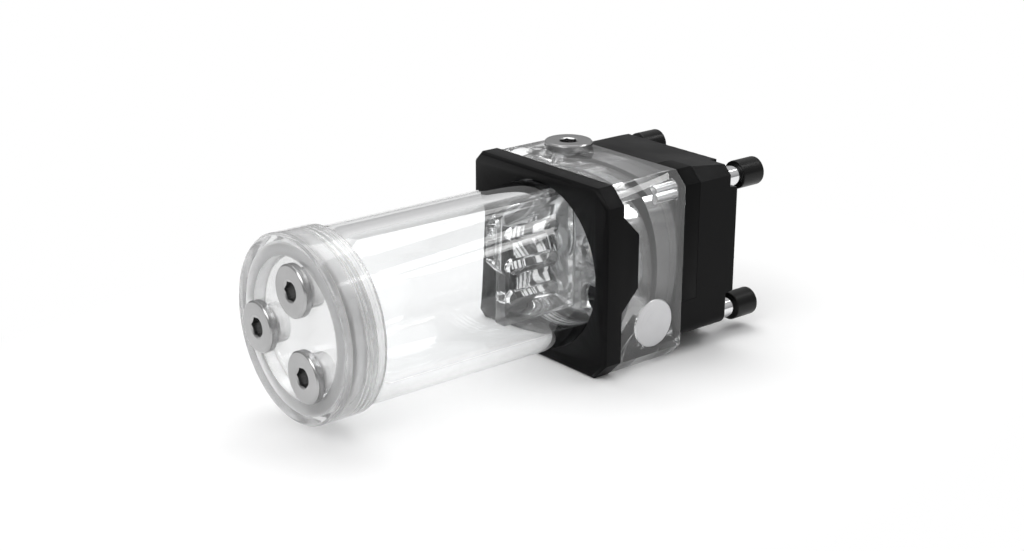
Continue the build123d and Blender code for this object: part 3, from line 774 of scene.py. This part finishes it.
@dataclass(frozen=True)
class TurnedMetalFinish:
    """Bright metal that was turned on a lathe."""

    name: str
    colour: Colour
    centre: Point
    axis: Axis
    roughness: float = 0.2
    pitch: float = 0.0003
    depth: float = 0.000012

    def build(self, effects: Effects) -> Material:
        """Builds the material: full metal with rings round its axis in the bump and the roughness."""
        coat = Coat(self.name, self.colour, metallic=1.0, roughness=self.roughness)
        rings = coat.group(effects.turned, coat.around(self.centre, self.axis), Pitch=self.pitch)
        marks = coat.group(effects.handling)
        darker = tuple(0.86 * value for value in self.colour)
        coat.tint(marks.outputs["Patch"], self.colour, darker)
        coat.vary("Roughness", rings.outputs["Rings"], self.roughness - 0.05, self.roughness + 0.07)
        coat.bump(rings.outputs["Rings"], 0.4, self.depth)
        return coat.material


def dress(nodes: tuple[str, ...], material: Material) -> None:
    """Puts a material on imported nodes.

    Args:
        nodes: names of the nodes.
        material: the material that all their slots take.
    """
    for name in nodes:
        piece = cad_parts[name]
        piece.data.materials.clear()
        piece.data.materials.append(material)
        LOG.info("dressed %s with %s", name, material.name)


@dataclass
class Reservoir:
    """Clear tube with its seals and flow plate."""

    effects: Effects

    outer: float = 30.0
    neck: float = 28.5
    bore: float = 25.0
    front: float = -98.8
    shoulder_front: float = -86.95
    shoulder_back: float = 5.7
    back: float = 13.0
    bevel: float = 3.05
    pitch: float = 2.0
    depth: float = 0.7
    plain_end: float = 93.6
    front_start: float = 0.4
    back_start: float = 2.0
    overrun: float = 0.6
    ramp: float = 0.3
    rounding: float = 0.25
    coarse: float = 6.0
    fine: float = 0.17

    def tube(self) -> Object:
        """Tube wall turned round the axis, with a thread in the neck at each end and a plain end under the cap."""
        profile = Profile(
            (
                (self.front, self.bore + self.bevel), (self.front, self.neck), (self.shoulder_front, self.neck),
                (self.shoulder_front, self.outer), (self.shoulder_back, self.outer), (self.shoulder_back, self.neck),
                (self.back, self.neck), (self.back, self.bore), (self.front + self.bevel, self.bore),
            ),
            closed=True,
        )
        zones = ((self.front, self.shoulder_front, self.fine), (self.shoulder_back, self.back, self.fine))
        path = profile.refined(self.rounding, self.coarse, zones)
        lathe = Lathe(place(0, 0, 0), columns=THREAD_COLUMNS)
        along, radius = path[:, :1], path[:, 1:]
        turn = lathe.turns()[None, :]
        start, end = -self.shoulder_front + self.front_start, -self.front + self.overrun
        front_cut = thread_depth(-along, -turn, self.pitch, self.depth, start, end)
        front_cut = np.where(-along > self.plain_end, self.depth, front_cut)
        start, end = self.shoulder_back + self.back_start, self.back + self.overrun
        back_cut = thread_depth(along, turn, self.pitch, self.depth, start, end)
        outside = np.clip((radius - self.neck + self.ramp) / self.ramp, 0, 1) * (radius < self.neck + 0.01)
        return lathe.piece("tube_wall", along, radius - (front_cut + back_cut) * outside, closed=True)

    def build(self) -> None:
        """Builds the tube and dresses it, its seals and the plate inside it."""
        clear = AcrylicFinish("tube_acrylic").build(self.effects)
        tube = self.tube()
        finish_piece(tube, clear, "base")
        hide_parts("reservoir_tube")
        plate = softened("flow_plate", "flow_plate_bevelled", 0.15)
        hazy = AcrylicFinish("plate_acrylic", smooth=0.02, hazy=0.06).build(self.effects)
        finish_piece(plate, hazy, "base")
        grey = MouldedFinish("grey_seal", (0.2, 0.205, 0.21), (0.25, 0.255, 0.26), 0.4)
        dress(("cap_seal", "tube_seal"), grey.build(self.effects))


@dataclass
class PortPlug:
    """Plug with a quarter inch thread, a flat head and a six-sided socket."""

    effects: Effects
    shank: float = 6.55
    shank_length: float = 5.8
    tip: float = 0.6
    groove: float = 1.52
    groove_radius: float = 8.09
    head: float = 8.75
    height: float = 2.8
    bevel: float = 0.5
    across: float = 6.0
    socket_depth: float = 5.0
    countersink: float = 3.75
    point: float = 0.9
    pitch: float = 1.337
    depth: float = 0.6
    run_out: float = -0.3
    rim: float = 0.15
    columns: int = 96

    def cut(self, along: np.ndarray, turn: np.ndarray) -> np.ndarray:
        """Thread shared by the plug and its port, so that ridge and groove mesh.

        Args:
            along: distance out of the port's face.
            turn: angle in radians.

        Returns:
            Depth of the thread.
        """
        return thread_depth(along, turn, self.pitch, self.depth, -40.0, self.run_out)

    def build(self, node: str, centre: np.ndarray, axis: Axis, sign: int) -> None:
        """Builds one plug in place of its node.

        The socket's wall follows radius = (across / 2) / cos((turn mod 60 deg) - 30 deg), and its mouth is cut by a cone.

        Args:
            node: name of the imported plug.
            centre: middle of the port's mouth, in metres.
            axis: axis of the port.
            sign: 1 where the plug's head looks along the axis, -1 where it looks against it.
        """
        end = -self.shank_length
        outline = Profile(
            (
                (end, 0.0), (end, self.shank - self.tip), (end + self.tip, self.shank), (self.groove, self.shank),
                (self.groove, self.groove_radius), (0.0, self.groove_radius), (0.0, self.head - self.rim),
                (self.rim, self.head), (self.height - self.bevel, self.head), (self.height, self.head - self.bevel),
                (self.height, self.countersink),
            )
        )
        path = outline.refined(0.1, 2.0, ((end, 0.0, 0.11),), level=0.7)
        lathe = Lathe(centre, axis, sign, self.columns)
        turn = lathe.turns()[None, :]
        along, radius = np.repeat(path[:, :1], self.columns, axis=1), path[:, 1:]
        on_shank = (np.abs(radius - self.shank) < 0.01) & (along < 0.0)
        radius = radius - self.cut(along, turn) * on_shank
        wall = self.across / 2 / np.cos(np.mod(turn, np.pi / 3) - np.pi / 6)
        mouth = self.height - (self.countersink - wall) * math.tan(math.radians(30))
        floor = np.full_like(wall, self.height - self.socket_depth)
        along = np.vstack([along, mouth, floor, floor - self.point])
        radius = np.vstack([radius, wall, wall, np.zeros_like(wall)])
        plug = lathe.piece(f"{node}_turned", along, radius)
        nickel = TurnedMetalFinish(f"{node}_nickel", (0.456, 0.456, 0.457), tuple(centre), axis, roughness=0.2)
        finish_piece(plug, nickel.build(self.effects), node)
        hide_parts(node)

    def cutter(self, centre: np.ndarray, axis: Axis, sign: int, reach: float, gap: float = 0.07) -> Object:
        """Threaded core that cuts a port which the plug's thread fits.

        Args:
            centre: middle of the port's mouth, in metres.
            axis: axis of the port.
            sign: direction that the port opens to, along the axis.
            reach: depth of the port.
            gap: clearance between the threads.

        Returns:
            The closed core.
        """
        wide = self.shank + gap
        outline = Profile(((-reach, 0.0), (-reach, wide), (1.0, wide), (1.0, 0.0)))
        path = outline.refined(0.01, 3.0, ((-reach, 0.0, 0.12),))
        lathe = Lathe(centre, axis, sign, self.columns)
        along, radius = path[:, :1], path[:, 1:]
        on_wall = (np.abs(radius - wide) < 0.005) & (along > -reach + 0.02)
        return lathe.piece("port_core", along, radius - self.cut(along, lathe.turns()[None, :]) * on_wall)


@dataclass
class EndCap:
    """Threaded cap with its three plugs."""

    effects: Effects
    port_circle: float = 16.0
    port_angles: tuple[float, ...] = (109.4, -10.6, -130.6)
    front: float = -102.4
    back: float = -87.0
    groove_floor: float = -98.9
    outer: float = 31.5
    groove_radius: float = 28.6
    spigot: float = 23.9
    bevel: float = 0.7
    thread_from: float = 87.35
    rim: float = 0.35

    def turned(self, reservoir: Reservoir) -> Object:
        """Cap turned round the axis, with the thread that meets the tube's neck in its groove.

        Args:
            reservoir: the tube, whose thread the cap takes.

        Returns:
            The cap without its ports.
        """
        outline = Profile(
            (
                (self.front, 0.0), (self.front, self.outer - self.bevel), (self.front + self.bevel, self.outer),
                (self.back - self.rim, self.outer), (self.back, self.outer - self.rim), (self.back, self.groove_radius),
                (self.groove_floor, self.groove_radius), (self.groove_floor, self.spigot),
                (self.back - self.bevel, self.spigot), (self.back, self.spigot - self.bevel), (self.back, 0.0),
            )
        )
        path = outline.refined(0.2, 5.0, ((-reservoir.plain_end, self.back, reservoir.fine),))
        lathe = Lathe(place(0, 0, 0), columns=THREAD_COLUMNS)
        along, radius = path[:, :1], path[:, 1:]
        turn = lathe.turns()[None, :]
        ridge = thread_depth(-along, -turn, reservoir.pitch, reservoir.depth, self.thread_from, reservoir.plain_end)
        on_wall = (np.abs(radius - self.groove_radius) < 0.005) & (along > self.groove_floor + 0.2)
        return lathe.piece("cap_turned", along, radius - ridge * on_wall)

    def build(self) -> None:
        """Builds the cap with its threaded ports and the plugs in them."""
        cap = self.turned(Reservoir(self.effects))
        plug = PortPlug(self.effects)
        centres = []
        for angle in self.port_angles:
            turn = math.radians(angle)
            centres.append(place(self.front, self.port_circle * math.cos(turn), self.port_circle * math.sin(turn)))
        carve(cap, [plug.cutter(centre, Axis.X, -1, self.back - self.front + 1.0) for centre in centres])
        milky = AcrylicFinish(
            "cap_acrylic", (0.867, 0.868, 0.87), smooth=0.05, hazy=0.12, milled=0.36, centre=tuple(place(-94.7, 0, 0)),
            skin=(7.7, 60.0, 120.0, self.outer), clear=0.86, share=0.84,
        )
        finish_piece(cap, milky.build(self.effects), "cap")
        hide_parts("end_cap")
        rubber = MouldedFinish("port_seal", *RUBBER, 0.5).build(self.effects)
        for number, centre in enumerate(centres, start=1):
            plug.build(f"cap_plug_{number}", centre, Axis.X, -1)
            dress((f"cap_plug_{number}_seal",), rubber)


@dataclass
class PumpTop:
    """Clear pump top with everything seen through it."""

    effects: Effects

    def build(self) -> None:
        """Dresses the pump top, plug, disc, volute plate and the pieces behind it."""
        block = softened("pump_top", "pump_top_bevelled", 0.12)
        plug = PortPlug(self.effects)
        clear = AcrylicFinish(
            "top_acrylic", hazy=0.02, milled=0.16, centre=tuple(place(22.75, 0, 0)), skin=(15.05, 34.2, 63.4, 90.0),
            clear=0.93,
        )
        finish_piece(block, clear.build(self.effects), "base")
        dress(("volute_plate",), AcrylicFinish("volute_acrylic", smooth=0.05, hazy=0.12).build(self.effects))
        plug.build("top_plug", place(28.0, 16.0, 34.2), Axis.Z, 1)
        middle = tuple(place(24.5, -34.2, -18.0))
        disc = TurnedMetalFinish("disc_silver", (0.62, 0.62, 0.63), middle, Axis.Y, roughness=0.3, depth=0.00003)
        dress(("badge_disc",), disc.build(self.effects))
        rubber = MouldedFinish("seal_rubber", *RUBBER, 0.5).build(self.effects)
        dress(("top_plug_seal", "pump_seal"), rubber)
        grey = MouldedFinish("impeller_plastic", (0.45, 0.46, 0.47), (0.5, 0.51, 0.52), 0.4)
        dress(("impeller",), grey.build(self.effects))


@dataclass
class Pump:
    """Flange, housing and the parts inside."""

    effects: Effects
    housing_back: float = 63.8
    top_at_back: float = 32.1
    top_fall: float = 0.1
    rail_depth: float = 2.9
    rail_height: float = 2.2
    rail_half: float = 21.5
    rail_sink: float = 0.03

    def rail(self) -> Object:
        """Closed edge above the cooling fins: a four-sided profile in (back, up), carried along the side direction.

        Returns:
            The rail, sunk a little below the housing's faces.
        """
        front, back = self.housing_back - self.rail_depth, self.housing_back - self.rail_sink
        high = self.top_at_back - self.rail_sink
        low = high - self.rail_height
        profile = np.array([(front, high + self.rail_depth * self.top_fall), (back, high), (back, low), (front, low)])
        sides = np.linspace(-self.rail_half, self.rail_half, 3)
        centre = profile.mean(axis=0)
        ring = np.stack([np.stack([place(back_, side, up) for back_, up in profile]) for side in sides])
        ends = [np.broadcast_to(place(centre[0], side, centre[1]), ring[:1].shape) for side in sides[[0, -1]]]
        rail = surface("housing_rail", np.vstack([ends[0], ring, ends[1]]), wrap_columns=True)
        weld(rail)
        return rail

    def build(self) -> None:
        """Dresses the pump's pieces."""
        housing = softened("pump_housing", "pump_housing_rounded", 0.3)
        carve(housing, [self.rail()], "UNION")
        flatten = housing.modifiers.new("flat_faces", "WEIGHTED_NORMAL")
        flatten.keep_sharp = True
        settle(housing)
        finish_piece(housing, AnodisedFinish("housing_black").build(self.effects), "base")
        # Painted sheen: the flange's collar zone gets a mid grey standing in for the reflection seen on the black
        # collar through the clear pump top.
        collar_sheen_span = (float(place(20, 0, 0)[0]), float(place(37.7, 0, 0)[0]))
        plastic = MouldedFinish(
            "flange_plastic", (0.0018, 0.0018, 0.002), (0.0032, 0.0032, 0.0034), 0.4, shine=0.055,
            band=collar_sheen_span, painted_sheen_colour=(0.05, 0.05, 0.051),
        )
        flange = softened("pump_flange", "pump_flange_rounded", 0.15)
        finish_piece(flange, plastic.build(self.effects), "base")
        rubber = MouldedFinish("grommet_rubber", *RUBBER, 0.6)
        dress(("cable_grommet",), rubber.build(self.effects))
        middle = tuple(place(36, 0, 0))
        ceramic = MouldedFinish("bearing_ceramic", (0.75, 0.74, 0.7), (0.8, 0.79, 0.76), 0.2)
        for nodes, finish in (
            (("stator_core",), TurnedMetalFinish("core_steel", (0.4, 0.4, 0.41), middle, Axis.X, 0.4)),
            (("stator_coils",), TurnedMetalFinish("coil_copper", (0.72, 0.33, 0.16), middle, Axis.X, 0.3)),
            (("circuit_board",), MouldedFinish("board_green", (0.01, 0.1, 0.045), (0.015, 0.13, 0.06), 0.3)),
            (("bearing_shaft", "bearing_bush"), ceramic),
            (("rotor_magnet",), MouldedFinish("rotor_magnet", (0.03, 0.03, 0.032), (0.05, 0.05, 0.052), 0.5)),
        ):
            dress(nodes, finish.build(self.effects))


@dataclass
class HolderFrame:
    """Black frame that carries the reservoir."""

    effects: Effects

    def build(self) -> None:
        """Dresses the frame."""
        ring = softened("holder_frame", "holder_frame_rounded", 0.22)
        finish_piece(ring, AnodisedFinish("frame_black").build(self.effects), "base")


@dataclass
class ThumbScrews:
    """Four long screws with polished shafts and black grips."""

    effects: Effects
    offset: float = 25.2
    stud_front: float = 28.4
    seat: float = 60.9
    grip_front: float = 71.5
    grip_back: float = 81.9
    stud: float = 1.95
    shaft: float = 3.75
    core: float = 3.0
    grip: float = 5.2
    pitch: float = 0.7
    depth: float = 0.35
    tip: float = 0.4
    thread_end: float = 37.6
    fine_end: float = 37.8
    sink: float = 0.6

    def screw(self, number: int, side: float, up: float) -> None:
        """Builds one screw with the thread on its stud.

        Args:
            number: number of the screw.
            side: its place to the hidden side.
            up: its height above the tube axis.
        """
        front, end = self.stud_front, self.grip_back - self.sink
        outline = Profile(
            (
                (front, 0.0), (front, self.stud - self.tip), (front + self.tip, self.stud), (self.seat, self.stud),
                (self.seat, self.shaft), (self.grip_front, self.shaft), (self.grip_front, self.core), (end, self.core),
                (end, 0.0),
            )
        )
        path = outline.refined(0.15, 3.0, ((front, self.fine_end, 0.07),), level=0.5)
        lathe = Lathe(place(0, side, up), columns=64)
        along, radius = path[:, :1], path[:, 1:]
        cut = thread_depth(along, lathe.turns()[None, :], self.pitch, self.depth, front - self.tip, self.thread_end)
        on_stud = (np.abs(radius - self.stud) < 0.005) & (along < self.thread_end)
        screw = lathe.piece(f"thumb_screw_{number}_turned", along, radius - cut * on_stud)
        middle = tuple(place(60, side, up))
        chrome = TurnedMetalFinish(f"shaft_{number}_chrome", (0.86, 0.86, 0.87), middle, Axis.X, 0.08)
        finish_piece(screw, chrome.build(self.effects), f"screw_{number}")
        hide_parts(f"thumb_screw_{number}")

    def sleeve(self, number: int, side: float, up: float, material: Material) -> None:
        """Builds one grip.

        Args:
            number: number of the screw.
            side: its place to the hidden side.
            up: its height above the tube axis.
            material: the grips' material.
        """
        end = self.grip_back - self.sink
        outline = Profile(
            (
                (end, 0.0), (end, self.core), (self.grip_front, self.core), (self.grip_front, self.grip),
                (self.grip_back, self.grip), (self.grip_back, 0.0),
            )
        )
        path = outline.refined(0.55, 3.0)
        sleeve = Lathe(place(0, side, up), columns=72).piece(f"thumb_grip_{number}_turned", path[:, 0], path[:, 1])
        finish_piece(sleeve, material, f"screw_{number}")
        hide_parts(f"thumb_grip_{number}")

    def build(self) -> None:
        """Builds the screws and grips and dresses the washers."""
        black = (0.003, 0.003, 0.003)
        grip = MouldedFinish("grip_plastic", black, (0.006, 0.006, 0.006), 0.3, shine=0.2).build(self.effects)
        washer = MouldedFinish("washer_nylon", (0.02, 0.02, 0.02), (0.03, 0.03, 0.03), 0.5).build(self.effects)
        for number, (side, up) in enumerate(((-1, 1), (1, 1), (1, -1), (-1, -1)), start=1):
            self.screw(number, side * self.offset, up * self.offset)
            self.sleeve(number, side * self.offset, up * self.offset, grip)
            dress((f"thumb_washer_{number}",), washer)


@dataclass
class Studio:
    """Camera, floor and light."""

    eye: Point = (-359.54, -434.46, 230.42)
    right: Point = (0.7705, -0.6374, 0.0027)
    up: Point = (0.2117, 0.2598, 0.9422)
    forward: Point = (0.6013, 0.7254, -0.3351)
    focal_pixels: float = 1719.46
    width_pixels: float = 1024.0
    centre_pixels: tuple[float, float] = (512.93, 282.70)
    image_middle: tuple[float, float] = (512.0, 275.5)
    plain_from: float = 0.13
    plain_to: float = 0.24
    plain_stretch: float = 1.5
    sensor: float = 36.0
    aim: Point = (0.0, 0.0, 0.03)
    dome: float = 0.55
    dome_through: float = 0.37

    def camera(self) -> None:
        """Camera at the fitted place; its focal length and shift come from the pinhole fit."""
        data = bpy.data.cameras.new("view")
        data.sensor_width = self.sensor
        data.lens = self.focal_pixels / self.width_pixels * self.sensor
        data.shift_x = (self.image_middle[0] - self.centre_pixels[0]) / self.width_pixels
        data.shift_y = (self.centre_pixels[1] - self.image_middle[1]) / self.width_pixels
        data.clip_start, data.clip_end = 0.02, 20.0
        camera = link("view", data)
        axes = np.array([self.right, self.up, tuple(-value for value in self.forward)]).T
        turn, _ = np.linalg.qr(axes)
        turn = turn * np.sign(np.sum(turn * axes, axis=0))
        matrix = np.eye(4)
        matrix[:3, :3] = turn
        matrix[:3, 3] = np.array(self.eye) * MM
        camera.matrix_world = Matrix(matrix.tolist())
        bpy.context.scene.camera = camera

    def floor(self) -> None:
        """Pale floor under the object; away from the object it passes into plain white, the colour of the backdrop."""
        steps = np.linspace(-2.2, 2.2, 5)
        x, y = np.meshgrid(steps, steps, indexing="ij")
        grid = np.stack([x, y, np.full_like(x, -0.00005)], axis=-1)
        floor = surface("floor", grid[:, ::-1])
        coat = Coat("floor_white", (0.95, 0.95, 0.95), roughness=0.85)
        coat.shader.inputs["Specular IOR Level"].default_value = 0.1
        tree = coat.tree
        split = add_node(tree, "SeparateXYZ", {0: coat.coordinates})
        side = math_node(tree, "MULTIPLY", split.outputs[1], self.plain_stretch)
        side_square = math_node(tree, "MULTIPLY", side, side)
        square = math_node(tree, "MULTIPLY_ADD", split.outputs[0], split.outputs[0], side_square)
        inputs = {"Value": math_node(tree, "SQRT", square), "From Min": self.plain_from, "From Max": self.plain_to}
        fade = add_node(tree, "MapRange", inputs, interpolation_type="SMOOTHSTEP")
        white = add_node(tree, "Emission", {"Strength": 1.0})
        inputs = {0: fade.outputs["Result"], 1: coat.shader.outputs[0], 2: white.outputs[0]}
        mix = add_node(tree, "MixShader", inputs)
        tree.links.new(mix.outputs[0], tree.nodes["Material Output"].inputs["Surface"])
        floor.data.materials.append(coat.material)

    def area(self, name: str, spot: Point, size: tuple[float, float], power: float) -> None:
        """Soft rectangular lamp that faces the object.

        Args:
            name: name of the lamp.
            spot: its place in metres.
            size: its width and height in metres.
            power: its power in watts.
        """
        data = bpy.data.lights.new(name, "AREA")
        data.shape = "RECTANGLE"
        data.size, data.size_y = size
        data.energy = power
        lamp = link(name, data)
        back = np.array(spot) - np.array(self.aim)
        back /= np.linalg.norm(back)
        side = np.cross((0.0, 0.0, 1.0), back)
        side /= np.linalg.norm(side)
        upward = np.cross(back, side)
        matrix = np.eye(4)
        matrix[:3, :3] = np.array([side, upward, back]).T
        matrix[:3, 3] = spot
        lamp.matrix_world = Matrix(matrix.tolist())

    def world(self) -> None:
        """Bright dome, greyer towards the horizon; seen through acrylic it is as bright as the backdrop."""
        world = bpy.data.worlds.new("dome")
        bpy.context.scene.world = world
        world.use_nodes = True
        tree = world.node_tree
        background = tree.nodes["Background"]
        direction = tree.nodes.new("ShaderNodeTexCoord").outputs["Generated"]
        split = add_node(tree, "SeparateXYZ", {0: direction})
        ramp = tree.nodes.new("ShaderNodeValToRGB")
        ramp.color_ramp.elements[0].position = 0.0
        ramp.color_ramp.elements[0].color = (0.46, 0.46, 0.465, 1)
        ramp.color_ramp.elements[1].position = 0.5
        ramp.color_ramp.elements[1].color = (1, 1, 1, 1)
        tree.links.new(split.outputs[2], ramp.inputs[0])
        tree.links.new(ramp.outputs[0], background.inputs["Color"])
        through = tree.nodes.new("ShaderNodeLightPath").outputs["Is Transmission Ray"]
        strength = math_node(tree, "MULTIPLY_ADD", through, self.dome_through, self.dome)
        tree.links.new(strength, background.inputs["Strength"])

    def build(self) -> None:
        """Sets the camera, floor, lamps and world."""
        self.camera()
        self.floor()
        self.world()
        self.area("softbox_left", (-0.9, -0.2, 1.0), (0.9, 0.9), 7.3)
        self.area("softbox_top", (0.3, 0.5, 1.3), (1.1, 0.8), 8.0)
        self.area("strip_behind", (0.70, -0.39, 0.80), (0.5, 0.09), 0.9)
        self.area("strip_above", (0.60, -0.33, 0.90), (0.5, 0.06), 0.5)
        bpy.context.scene.view_settings.view_transform = "Standard"


def main() -> None:
    """Builds every sub-assembly and the studio."""
    logging.basicConfig(level=logging.INFO, format="%(message)s")
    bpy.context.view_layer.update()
    effects = Effects()
    for assembly in (Reservoir, EndCap, PumpTop, Pump, HolderFrame, ThumbScrews):
        assembly(effects).build()
        LOG.info("built %s", assembly.__name__)
    Studio().build()


if __name__ == "__main__":
    main()
